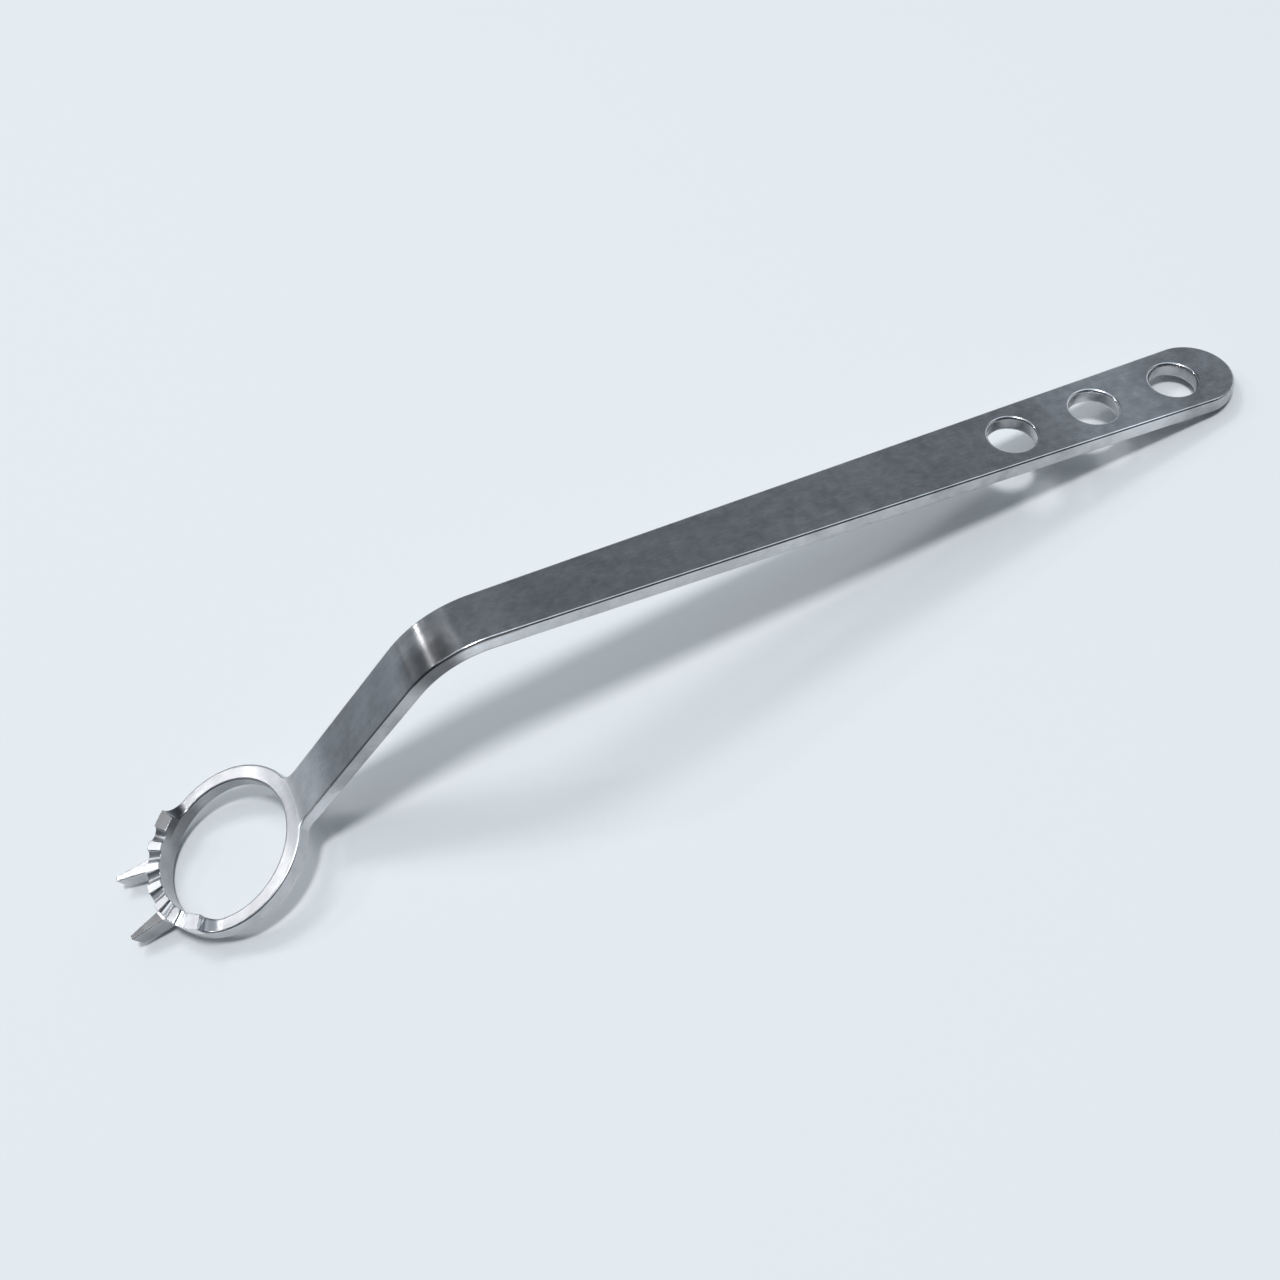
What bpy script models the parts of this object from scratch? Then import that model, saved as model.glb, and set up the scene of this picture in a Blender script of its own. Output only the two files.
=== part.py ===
"""Glenoid retractor: one bent steel bar that ends in a ring with a serrated crown and two prongs.

Run with blender --background --python part.py, or from the text editor.
World units are metres with +Z up. The sizes below are in millimetres and degrees.
The blank is made flat, with the ring's centre at the origin, the crown toward -X and the
handle toward +X. It is then bent, and laid on Z = 0 the way the finished retractor rests.
"""

from math import acos, atan2, ceil, cos, degrees, pi, radians, sin, sqrt, tan

import bmesh
import bpy
from mathutils import Matrix, Vector

MM = 0.001

# Handle: a flat bar with a round end and a row of holes
HANDLE_LENGTH = 167.3
HANDLE_WIDTH = 18.0
BEND_WIDTH = 12.2
BAR_THICKNESS = 3.5
HOLE_COUNT = 3
HOLE_DIAMETER = 10.4
HOLE_SPACING = 19.45
HOLE_FROM_END = 13.3
EDGE_ROUNDING = 0.7
HOLE_EDGE_ROUNDING = 0.3

# Shank: runs from the wide bend in front of the handle to the short bend at the ring's neck,
# where the bar's faces lie a hair under the ring's. The neck's corner is just outside the ring.
SHANK_LENGTH = 34.5
SHANK_WIDTH = 11.3
MAIN_BEND_ANGLE = 46.7
MAIN_BEND_RADIUS = 22.1
NECK_BEND_ANGLE = 21.2
NECK_BEND_RADIUS = 14.0
NECK_CORNER = 0.13
NECK_FILLET = 2.8
BAR_SINK = 0.02

# Ring: its bore sits a little toward the crown, so the wall is widest at the neck
RING_BORE = 29.4
RING_WALL = 3.1
RING_THICKNESS = 3.15
RING_ROUNDING = 0.45
BORE_OFFSET = 0.5

# Crown: teeth raised on the far arc of the ring, with grooves that deepen outward.
# It overhangs the bore a little, and its middle leans back toward the handle.
TOOTH_COUNT = 7
CROWN_HALF_ANGLE = 58.2
CROWN_RAMP_ANGLE = 13.0
CROWN_RISE = 2.6
LIP_RISE = 0.45
CROWN_OVERHANG = 0.5
CROWN_LEAN = 0.55
CROWN_EDGE = 0.12
GROOVE_SHARE = 0.62
GROOVE_DEPTH = 1.1
GROOVE_DEPTH_AT_BORE = 0.65

# Prongs: two tapered spikes that reach forward from the crown's outer wall
PRONG_ANGLE = 20.4
PRONG_REACH = 7.2
PRONG_SPLAY = 9.0
PRONG_PITCH = 7.2
PRONG_ROOT_HEIGHT = 5.0
PRONG_ROOT_WIDTH = 2.8
PRONG_ROOT_DEPTH = 3.6
PRONG_TIP_WIDTH = 1.1
PRONG_TIP_DEPTH = 3.1
PRONG_TIP_SLANT = 0.7
PRONG_EDGE = 0.16

# How finely round stretches are cut, in degrees or steps
WALL_STEP = 3.0
GROOVE_STEPS = 6
RAMP_STEPS = 8
ROUNDING_STEPS = 3
HOLE_SIDES = 40
END_STEPS = 24
FILLET_STEPS = 8
MAIN_BEND_STEPS = 16
NECK_BEND_STEPS = 9
SMOOTH_BELOW = 38.0
ROUND_EDGES_OVER = 50.0

# How near a cut in the bends snaps to a point, how near two points are made one where pieces join,
# and how often the part is tilted to find its rest
CUT_SNAP = 0.02
JOIN_SNAP = 0.01
LEVELLING_PASSES = 12

BORE_RADIUS = RING_BORE / 2
RING_RADIUS = BORE_RADIUS + RING_WALL


def clear_scene():
    for old in list(bpy.data.objects):
        bpy.data.objects.remove(old, do_unlink=True)


def new_object(name, mesh_data):
    """Turn a bmesh, measured in millimetres, into an object in the scene."""
    mesh = bpy.data.meshes.new(name)
    mesh_data.to_mesh(mesh)
    mesh_data.free()
    made = bpy.data.objects.new(name, mesh)
    bpy.context.scene.collection.objects.link(made)
    return made


def even_steps(start, end, largest):
    """Values from start up to, but without, end, spaced evenly."""
    count = max(1, ceil(abs(end - start) / largest))
    return [start + (end - start) * step / count for step in range(count)]


def arc(centre, radius, start, end, steps):
    """Points on a circle, from one angle in radians to another, both ends kept."""
    turn = (end - start) / steps
    return [
        centre + radius * Vector((cos(start + turn * step), sin(start + turn * step)))
        for step in range(steps + 1)
    ]


def loft(sections, closed):
    """Skin a row of equal point loops, and cap both ends unless the row closes on itself."""
    skin = bmesh.new()
    loops = [[skin.verts.new(point) for point in section] for section in sections]
    pairs = list(zip(loops, loops[1:]))
    if closed:
        pairs.append((loops[-1], loops[0]))
    else:
        skin.faces.new(loops[0])
        skin.faces.new(loops[-1])
    for here, there in pairs:
        for side in range(len(here)):
            after = (side + 1) % len(here)
            skin.faces.new((here[side], here[after], there[after], there[side]))
    bmesh.ops.recalc_face_normals(skin, faces=skin.faces)
    return skin


# Ring and crown


def ring_section(top_rounding):
    """The ring's wall as (share of the way out from the bore, height) pairs, edges rounded."""
    corners = (
        (0, 0, RING_ROUNDING, pi),
        (1, 0, RING_ROUNDING, 1.5 * pi),
        (1, 1, top_rounding, 0.0),
        (0, 1, top_rounding, 0.5 * pi),
    )
    points = []
    for outer, upper, rounding, start in corners:
        across = RING_WALL - rounding if outer else rounding
        height = RING_THICKNESS - rounding if upper else rounding
        points += arc(Vector((across, height)), rounding, start, start + pi / 2, ROUNDING_STEPS)
    return [(point.x / RING_WALL, point.y) for point in points]


def tooth_pitch():
    return 2 * CROWN_HALF_ANGLE / TOOTH_COUNT


def groove_centres():
    """Angles of the grooves between neighbouring teeth, from one side of the crown to the other."""
    first = -CROWN_HALF_ANGLE + tooth_pitch()
    return [first + tooth_pitch() * number for number in range(TOOTH_COUNT - 1)]


def ring_angles():
    """Angles of the ring's sections, closest together in the grooves and on the ramps."""
    half_groove = GROOVE_SHARE * tooth_pitch() / 2
    foot = CROWN_HALF_ANGLE + CROWN_RAMP_ANGLE
    ramp_step = CROWN_RAMP_ANGLE / RAMP_STEPS
    angles = even_steps(-foot, -CROWN_HALF_ANGLE, ramp_step)
    reached = -CROWN_HALF_ANGLE
    for centre in groove_centres():
        angles += even_steps(reached, centre - half_groove, WALL_STEP)
        angles += [
            centre - half_groove * cos(pi * step / GROOVE_STEPS) for step in range(GROOVE_STEPS)
        ]
        reached = centre + half_groove
    angles += even_steps(reached, CROWN_HALF_ANGLE, WALL_STEP)
    angles += even_steps(CROWN_HALF_ANGLE, foot, ramp_step)
    angles += even_steps(foot, 360 - foot, WALL_STEP)
    return angles


def ramp_climb(angle):
    """How far up the ramp an angle from the crown's middle lies: 0 on the plain ring, 1 on the crown."""
    beyond = max(0.0, abs(angle) - CROWN_HALF_ANGLE)
    climb = max(0.0, 1 - beyond / CROWN_RAMP_ANGLE)
    return 1 - sqrt(1 - climb * climb)


def crown_rise(angle, share):
    """Height of the crown over the ring's face at an angle from the crown's middle."""
    full = CROWN_RISE + LIP_RISE * share
    if abs(angle) > CROWN_HALF_ANGLE:
        return full * ramp_climb(angle)
    depth = GROOVE_DEPTH_AT_BORE + (GROOVE_DEPTH - GROOVE_DEPTH_AT_BORE) * share
    half_groove = GROOVE_SHARE * tooth_pitch() / 2
    nearest = min(abs(angle - centre) for centre in groove_centres()) / half_groove
    return full - depth * sqrt(max(0.0, 1 - nearest * nearest))


def crown_lean(angle):
    """How much the crown's middle leans in, falling to nothing at the crown's two ends."""
    end = cos(radians(CROWN_HALF_ANGLE))
    return CROWN_LEAN * max(0.0, cos(radians(angle)) - end) / (1 - end)


def make_ring():
    sections = []
    for angle in ring_angles():
        around = radians(180 - angle)
        signed = (angle + 180) % 360 - 180
        top_rounding = RING_ROUNDING + (CROWN_EDGE - RING_ROUNDING) * ramp_climb(signed)
        points = []
        for share, height in ring_section(top_rounding):
            radius = BORE_RADIUS + share * RING_WALL
            if height > RING_THICKNESS / 2:
                rise = crown_rise(signed, share)
                height += rise
                inward = crown_lean(signed) + CROWN_OVERHANG * (1 - share)
                radius -= inward * rise / (CROWN_RISE + LIP_RISE)
            shift = BORE_OFFSET * (1 - share)
            points.append((radius * cos(around) - shift, radius * sin(around), height))
        sections.append(points)
    return new_object("ring", loft(sections, closed=True))


# Prongs


def make_prong(side):
    """One prong: a tapered bar with a slanted tip. side is 1 or -1, for the two sides of the crown."""
    pitch = Matrix.Rotation(radians(PRONG_PITCH), 4, "Y")
    splay = Matrix.Rotation(-side * radians(PRONG_SPLAY), 4, "Z")
    seat = radians(180 - side * PRONG_ANGLE)
    root = Vector((RING_RADIUS * cos(seat), RING_RADIUS * sin(seat), PRONG_ROOT_HEIGHT))
    place = Matrix.Translation(root) @ splay @ pitch
    bedded = RING_WALL / 2
    stretch = bedded / PRONG_REACH
    sections = []
    for along, slant in ((-stretch, 0.0), (1.0, PRONG_TIP_SLANT)):
        half_width = (PRONG_ROOT_WIDTH + (PRONG_TIP_WIDTH - PRONG_ROOT_WIDTH) * along) / 2
        depth = PRONG_ROOT_DEPTH + (PRONG_TIP_DEPTH - PRONG_ROOT_DEPTH) * along
        top = -PRONG_REACH * along
        corners = (
            (top, -half_width, 0.0),
            (top, half_width, 0.0),
            (top + slant, half_width, -depth),
            (top + slant, -half_width, -depth),
        )
        sections.append([place @ Vector(corner) for corner in corners])
    prong = loft(sections, closed=False)
    bmesh.ops.bevel(
        prong,
        geom=prong.edges[:],
        offset=PRONG_EDGE,
        segments=2,
        profile=0.5,
        affect="EDGES",
    )
    return new_object("prong", prong)


# Handle, shank and neck, as one flat plate


def neck_bend_start():
    return RING_RADIUS + NECK_CORNER - NECK_BEND_RADIUS * tan(radians(NECK_BEND_ANGLE) / 2)


def centre_line():
    """Stretches of the blank from the ring's centre to the handle's end, as (length, turn)."""
    neck = radians(NECK_BEND_ANGLE)
    main = radians(MAIN_BEND_ANGLE)
    return (
        (neck_bend_start(), 0.0),
        (NECK_BEND_RADIUS * neck, neck),
        (SHANK_LENGTH, 0.0),
        (MAIN_BEND_RADIUS * main, -main),
        (HANDLE_LENGTH, 0.0),
    )


def stretch_ends():
    ends = [0.0]
    for length, _ in centre_line():
        ends.append(ends[-1] + length)
    return ends


def plate_side():
    """Outline of one side of the plate, from inside the ring's wall to the tip of the handle."""
    handle_start, tip = stretch_ends()[4:]
    root = Vector((RING_RADIUS, SHANK_WIDTH / 2))
    bend = Vector((handle_start, BEND_WIDTH / 2))
    along = (bend - root).normalized()
    out = Vector((-along.y, along.x))
    # The fillet's circle touches the shank's edge and dips a little under the ring's outer wall.
    dip = RING_ROUNDING / 4
    reach = RING_RADIUS - dip + NECK_FILLET
    start = root + out * NECK_FILLET
    slide = -start.dot(along) + sqrt(start.dot(along) ** 2 - start.length_squared + reach**2)
    centre = start + along * slide
    from_ring = atan2(-centre.y, -centre.x) + 2 * pi
    to_shank = atan2(-out.y, -out.x) + 2 * pi
    fillet = arc(centre, NECK_FILLET, from_ring, to_shank, FILLET_STEPS)
    seat = atan2(fillet[0].y, fillet[0].x)
    hidden = seat + radians(WALL_STEP)
    buried = [
        (RING_RADIUS - RING_WALL / 2) * Vector((cos(hidden), sin(hidden))),
        (RING_RADIUS - RING_ROUNDING) * Vector((cos(hidden), sin(hidden))),
    ]
    # The handle's edge runs straight into the round end, which it touches.
    half = HANDLE_WIDTH / 2
    end_centre = Vector((tip - half, 0.0))
    from_centre = bend - end_centre
    touch = atan2(from_centre.y, from_centre.x) - acos(half / from_centre.length)
    round_end = arc(end_centre, half, touch, 0.0, END_STEPS)
    return buried + fillet + [bend] + round_end


def make_plate():
    upper = plate_side()
    lower = [Vector((point.x, -point.y)) for point in reversed(upper[:-1])]
    start = atan2(upper[0].y, upper[0].x)
    steps = ceil(degrees(2 * start) / WALL_STEP)
    hidden_arc = arc(Vector((0.0, 0.0)), upper[0].length, -start, start, steps)[1:-1]
    plate = bmesh.new()
    outline = [plate.verts.new((point.x, point.y, BAR_SINK)) for point in upper + lower + hidden_arc]
    face = plate.faces.new(outline)
    raised = bmesh.ops.extrude_face_region(plate, geom=[face])["geom"]
    top = [item for item in raised if isinstance(item, bmesh.types.BMVert)]
    bmesh.ops.translate(plate, verts=top, vec=(0.0, 0.0, RING_THICKNESS - 2 * BAR_SINK))
    bmesh.ops.recalc_face_normals(plate, faces=plate.faces)
    return new_object("plate", plate)


def make_hole_cutter():
    """Cylinders for the row of holes in the handle, longer than the plate is thick."""
    tip = stretch_ends()[-1]
    cutter = bmesh.new()
    for number in range(HOLE_COUNT):
        centre = Vector((tip - HOLE_FROM_END - number * HOLE_SPACING, 0.0, RING_THICKNESS / 2))
        bmesh.ops.create_cone(
            cutter,
            cap_ends=True,
            segments=HOLE_SIDES,
            radius1=HOLE_DIAMETER / 2,
            radius2=HOLE_DIAMETER / 2,
            depth=2 * RING_THICKNESS,
            matrix=Matrix.Translation(centre),
        )
    return new_object("hole_cutter", cutter)


def set_helper(helper):
    helper.hide_render = True
    helper.display_type = "WIRE"


def add_boolean(target, other, operation):
    step = target.modifiers.new(operation.lower() + " " + other.name, "BOOLEAN")
    step.operation = operation
    step.solver = "EXACT"
    step.object = other
    set_helper(other)


def add_edge_rounding(target, name, width):
    step = target.modifiers.new(name, "BEVEL")
    step.limit_method = "ANGLE"
    step.angle_limit = radians(ROUND_EDGES_OVER)
    step.width = width
    step.segments = ROUNDING_STEPS


def join_blank():
    """Round the plate's edges, cut its holes, add the ring and the prongs, and return one flat mesh."""
    blank = make_plate()
    helpers = [make_hole_cutter(), make_ring(), make_prong(1), make_prong(-1)]
    add_edge_rounding(blank, "edge rounding", EDGE_ROUNDING)
    add_boolean(blank, helpers[0], "DIFFERENCE")
    add_edge_rounding(blank, "hole edge rounding", HOLE_EDGE_ROUNDING)
    for addition in helpers[1:]:
        add_boolean(blank, addition, "UNION")
    graph = bpy.context.evaluated_depsgraph_get()
    joined = bmesh.new()
    joined.from_object(blank, graph)
    bmesh.ops.dissolve_degenerate(joined, dist=JOIN_SNAP, edges=joined.edges)
    for used in [blank] + helpers:
        bpy.data.objects.remove(used, do_unlink=True)
    return joined


# Bending and laying down


def bent(along, above):
    """Where a point of the flat blank goes: its place along the blank, and above mid thickness."""
    place = Vector((0.0, 0.0))
    heading = 0.0
    stretches = centre_line()
    left = along
    for number, (length, turn) in enumerate(stretches):
        last = number == len(stretches) - 1
        step = left if last else min(left, length)
        if turn:
            turned = turn * step / length
            chord = 2 * length / turn * sin(turned / 2)
            middle = heading + turned / 2
            place += chord * Vector((cos(middle), sin(middle)))
            heading += turned
        else:
            place += step * Vector((cos(heading), sin(heading)))
        left -= step
        if left <= 0:
            break
    return place + above * Vector((-sin(heading), cos(heading)))


def evened(along, above):
    """Along the shank, the blank goes evenly from the ring's thickness to the bar's."""
    ends = stretch_ends()
    share = min(1.0, max(0.0, (along - ends[2]) / SHANK_LENGTH))
    blank_thickness = RING_THICKNESS - 2 * BAR_SINK
    return above * (1 + share * (BAR_THICKNESS / blank_thickness - 1))


def bend_blank(blank):
    ends = stretch_ends()
    stations = []
    for start, end, steps in ((ends[1], ends[2], NECK_BEND_STEPS), (ends[3], ends[4], MAIN_BEND_STEPS)):
        stations += [start + (end - start) * step / steps for step in range(steps + 1)]
    for station in stations:
        everything = blank.verts[:] + blank.edges[:] + blank.faces[:]
        bmesh.ops.bisect_plane(
            blank,
            geom=everything,
            dist=CUT_SNAP,
            plane_co=(station, 0.0, 0.0),
            plane_no=(1.0, 0.0, 0.0),
        )
    middle = RING_THICKNESS / 2
    for vert in blank.verts:
        above = evened(vert.co.x, vert.co.z - middle)
        place = bent(vert.co.x, above)
        vert.co.x, vert.co.z = place.x, place.y


def lay_down(blank):
    """Tilt the part until the ring's end and the handle's end both touch Z = 0, and centre it."""
    for _ in range(LEVELLING_PASSES):
        xs = [vert.co.x for vert in blank.verts]
        half_way = (min(xs) + max(xs)) / 2
        near = min((vert.co for vert in blank.verts if vert.co.x < half_way), key=lambda co: co.z)
        far = min((vert.co for vert in blank.verts if vert.co.x > half_way), key=lambda co: co.z)
        tilt = Matrix.Rotation(atan2(far.z - near.z, far.x - near.x), 3, "Y")
        bmesh.ops.rotate(blank, verts=blank.verts, cent=near.copy(), matrix=tilt)
    xs = [vert.co.x for vert in blank.verts]
    lowest = min(vert.co.z for vert in blank.verts)
    shift = Vector((-(min(xs) + max(xs)) / 2, 0.0, -lowest))
    bmesh.ops.translate(blank, verts=blank.verts, vec=shift)


def steel():
    """Satin stainless steel."""
    made = bpy.data.materials.new("satin steel")
    made.use_nodes = True
    shader = made.node_tree.nodes["Principled BSDF"]
    shader.inputs["Base Color"].default_value = (0.62, 0.64, 0.66, 1.0)
    shader.inputs["Metallic"].default_value = 1.0
    shader.inputs["Roughness"].default_value = 0.28
    return made


def make_retractor():
    blank = join_blank()
    bend_blank(blank)
    lay_down(blank)
    bmesh.ops.scale(blank, verts=blank.verts, vec=(MM, MM, MM))
    retractor = new_object("retractor", blank)
    retractor.data.materials.append(steel())
    retractor.data.shade_smooth()
    retractor.data.set_sharp_from_angle(angle=radians(SMOOTH_BELOW))
    return retractor


clear_scene()
make_retractor()
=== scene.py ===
"""Glenoid retractor in satin steel: one bent bar with a ring, a crown of teeth and two prongs.

The bar is made flat in millimetres, with the ring's centre at the origin, the crown toward -X and
the handle toward +X. It is then bent, laid on Z = 0 and scaled to metres, in the frame's own place.
"""

from math import acos, atan2, ceil, cos, degrees, pi, radians, sin, sqrt, tan

import bmesh
import bpy
from mathutils import Matrix, Vector


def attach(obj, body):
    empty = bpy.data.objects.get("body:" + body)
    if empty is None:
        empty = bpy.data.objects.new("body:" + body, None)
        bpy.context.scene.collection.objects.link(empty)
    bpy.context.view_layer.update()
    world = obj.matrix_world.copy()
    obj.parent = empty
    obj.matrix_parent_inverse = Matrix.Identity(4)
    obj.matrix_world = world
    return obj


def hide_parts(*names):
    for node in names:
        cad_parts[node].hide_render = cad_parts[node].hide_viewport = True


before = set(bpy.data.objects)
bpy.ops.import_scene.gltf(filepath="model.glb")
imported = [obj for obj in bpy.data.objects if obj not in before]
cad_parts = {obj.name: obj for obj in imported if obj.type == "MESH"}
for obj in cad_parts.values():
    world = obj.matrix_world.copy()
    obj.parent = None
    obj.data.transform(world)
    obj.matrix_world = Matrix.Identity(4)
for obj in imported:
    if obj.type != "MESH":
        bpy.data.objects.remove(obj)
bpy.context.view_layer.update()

MM = 0.001

# Handle: a flat bar with a round end and a row of holes, in millimetres and degrees
HANDLE_LENGTH = 167.3
HANDLE_WIDTH = 18.0
BEND_WIDTH = 12.2
BAR_THICKNESS = 3.5
HOLE_COUNT = 3
HOLE_DIAMETER = 10.0
HOLE_SPACING = 19.45
HOLE_FROM_END = 13.3
EDGE_ROUNDING = 0.7
HOLE_EDGE_ROUNDING = 0.6

# Shank and bends
SHANK_LENGTH = 34.5
SHANK_WIDTH = 11.3
MAIN_BEND_ANGLE = 46.7
MAIN_BEND_RADIUS = 22.1
NECK_BEND_ANGLE = 21.2
NECK_BEND_RADIUS = 14.0
NECK_CORNER = 0.13
NECK_FILLET = 2.8

# The plate's end is buried in the ring's wall, and its faces lie a little under the ring's
BURIED_TURN = 3.0
BAR_SINK = 0.02

# Ring
RING_BORE = 29.4
RING_WALL = 3.1
RING_THICKNESS = 3.15
RING_ROUNDING = 0.45
BORE_OFFSET = 0.5

# Crown of teeth
TOOTH_COUNT = 7
CROWN_HALF_ANGLE = 58.2
CROWN_RAMP_ANGLE = 13.0
CROWN_RISE = 2.6
LIP_RISE = 0.45
CROWN_OVERHANG = 0.5
CROWN_LEAN = 0.55
CROWN_EDGE = 0.12
GROOVE_SHARE = 0.62
GROOVE_DEPTH = 1.1
GROOVE_DEPTH_AT_BORE = 0.65

# Prongs
PRONG_ANGLE = 20.4
PRONG_REACH = 7.2
PRONG_SPLAY = 9.0
PRONG_PITCH = 7.2
PRONG_ROOT_HEIGHT = 5.0
PRONG_ROOT_WIDTH = 2.8
PRONG_ROOT_DEPTH = 3.6
PRONG_TIP_WIDTH = 1.1
PRONG_TIP_DEPTH = 3.1
PRONG_TIP_SLANT = 0.7
PRONG_EDGE = 0.16

# How finely round stretches are cut, and what counts as an edge or as one point
PLAIN_RING_STEP = 2.0
LAND_STEPS = 4
GROOVE_STEPS = 14
RAMP_STEPS = 18
ROUNDING_STEPS = 5
PRONG_EDGE_STEPS = 3
HOLE_SIDES = 96
END_STEPS = 72
FILLET_STEPS = 20
MAIN_BEND_STEPS = 48
NECK_BEND_STEPS = 28
SMOOTH_BELOW = 38.0
ROUND_EDGES_OVER = 50.0
CUT_SNAP = 0.02
JOIN_SNAP = 0.005
LEVELLING_PASSES = 12

BORE_RADIUS = RING_BORE / 2
RING_RADIUS = BORE_RADIUS + RING_WALL


class Socket:
    """An output in a node tree. Arithmetic on it adds Math nodes."""

    def __init__(self, graph, link):
        self.graph = graph
        self.link = link

    def math(self, operation, *values):
        numbers = dict(enumerate((self,) + values))
        return self.graph.add("ShaderNodeMath", {"operation": operation}, numbers)

    def turned_math(self, operation, first):
        return self.graph.add("ShaderNodeMath", {"operation": operation}, {0: first, 1: self})

    def __add__(self, other):
        return self.math("ADD", other)

    def __sub__(self, other):
        return self.math("SUBTRACT", other)

    def __mul__(self, other):
        return self.math("MULTIPLY", other)

    def __truediv__(self, other):
        return self.math("DIVIDE", other)

    def __pow__(self, other):
        return self.math("POWER", other)

    def __radd__(self, other):
        return self.turned_math("ADD", other)

    def __rsub__(self, other):
        return self.turned_math("SUBTRACT", other)

    def at_least(self, other):
        return self.math("MAXIMUM", other)

    def at_most(self, other):
        return self.math("MINIMUM", other)

    def above(self, other):
        return self.math("GREATER_THAN", other)

    def below(self, other):
        return self.math("LESS_THAN", other)

    def root(self):
        return self.math("SQRT")

    def size(self):
        return self.math("ABSOLUTE")

    def floor(self):
        return self.math("FLOOR")

    def sine(self):
        return self.math("SINE")

    def cosine(self):
        return self.math("COSINE")

    def part(self, name):
        """One of X, Y and Z, where this is a vector."""
        return self.graph.add("ShaderNodeSeparateXYZ", {}, {0: self}, name)

    def between(self, low, high):
        """A smooth step: 0 where this is at low, 1 where it is at high."""
        settings = {"interpolation_type": "SMOOTHSTEP"}
        values = {"Value": self, "From Min": low, "From Max": high}
        return self.graph.add("ShaderNodeMapRange", settings, values)


class Graph:
    """A node tree that is written as expressions."""

    def __init__(self, tree):
        self.tree = tree

    def node(self, kind, settings=None, values=None):
        """A node of one kind: its settings come first, then the values or links of its sockets."""
        made = self.tree.nodes.new(kind)
        for name, setting in (settings or {}).items():
            setattr(made, name, setting)
        for name, value in (values or {}).items():
            self.fill(made.inputs[name], value)
        return made

    def add(self, kind, settings=None, values=None, output=0):
        """A node, and the one output of it that the expression goes on with."""
        return Socket(self, self.node(kind, settings, values).outputs[output])

    def fill(self, socket, value):
        """Link the socket, where the value is an output, or else set it."""
        if isinstance(value, Socket):
            self.tree.links.new(value.link, socket)
        else:
            socket.default_value = value


# Geometry trees: the ring with its crown, and the row of holes


def new_tree(name, sizes):
    """A Geometry Nodes tree with named inputs. Returns its graph, and its inputs by name."""
    tree = bpy.data.node_groups.new(name, "GeometryNodeTree")
    tree.interface.new_socket(name="Mesh", in_out="INPUT", socket_type="NodeSocketGeometry")
    for label, size in sizes.items():
        kind = "NodeSocketInt" if isinstance(size, int) else "NodeSocketFloat"
        tree.interface.new_socket(name=label, in_out="INPUT", socket_type=kind)
    tree.interface.new_socket(name="Material", in_out="INPUT", socket_type="NodeSocketMaterial")
    tree.interface.new_socket(name="Mesh", in_out="OUTPUT", socket_type="NodeSocketGeometry")
    graph = Graph(tree)
    source = tree.nodes.new("NodeGroupInput")
    given = {socket.name: Socket(graph, socket) for socket in source.outputs if socket.name}
    return graph, given


def end_tree(graph, mesh, given):
    """Every tree ends by making its instances real and setting their material."""
    real = graph.add("GeometryNodeRealizeInstances", {}, {0: mesh})
    values = {"Geometry": real, "Material": given["Material"]}
    dressed = graph.add("GeometryNodeSetMaterial", {}, values)
    graph.fill(graph.tree.nodes.new("NodeGroupOutput").inputs[0], dressed)


def grown(base, graph, sizes, material):
    """Run a tree on a base object and return the result as a plain mesh object, in the base's stead."""
    step = base.modifiers.new(graph.tree.name, "NODES")
    step.node_group = graph.tree
    wanted = dict(sizes, Material=material)
    for item in graph.tree.interface.items_tree:
        if item.in_out == "INPUT" and item.name in wanted:
            step[item.identifier] = wanted[item.name]
    made = bpy.data.meshes.new_from_object(base.evaluated_get(bpy.context.evaluated_depsgraph_get()))
    base.modifiers.clear()
    name = base.name
    bpy.data.objects.remove(base, do_unlink=True)
    return linked(name, made)


def linked(name, mesh):
    made = bpy.data.objects.new(name, mesh)
    bpy.context.scene.collection.objects.link(made)
    return made


def new_object(name, shape):
    """Turn a bmesh, measured in millimetres, into an object in the scene."""
    mesh = bpy.data.meshes.new(name)
    shape.to_mesh(mesh)
    shape.free()
    return linked(name, mesh)


RING_SIZES = {
    "Bore Radius": BORE_RADIUS,
    "Wall": RING_WALL,
    "Thickness": RING_THICKNESS,
    "Bore Offset": BORE_OFFSET,
    "Rounding": RING_ROUNDING,
    "Rounding Steps": ROUNDING_STEPS,
    "Teeth": TOOTH_COUNT,
    "Crown Half Angle": radians(CROWN_HALF_ANGLE),
    "Ramp Angle": radians(CROWN_RAMP_ANGLE),
    "Rise at Bore": CROWN_RISE,
    "Extra Rise at Lip": LIP_RISE,
    "Overhang": CROWN_OVERHANG,
    "Lean": CROWN_LEAN,
    "Crown Edge": CROWN_EDGE,
    "Groove Share": GROOVE_SHARE,
    "Groove Depth": GROOVE_DEPTH,
    "Groove Depth at Bore": GROOVE_DEPTH_AT_BORE,
}


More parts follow.
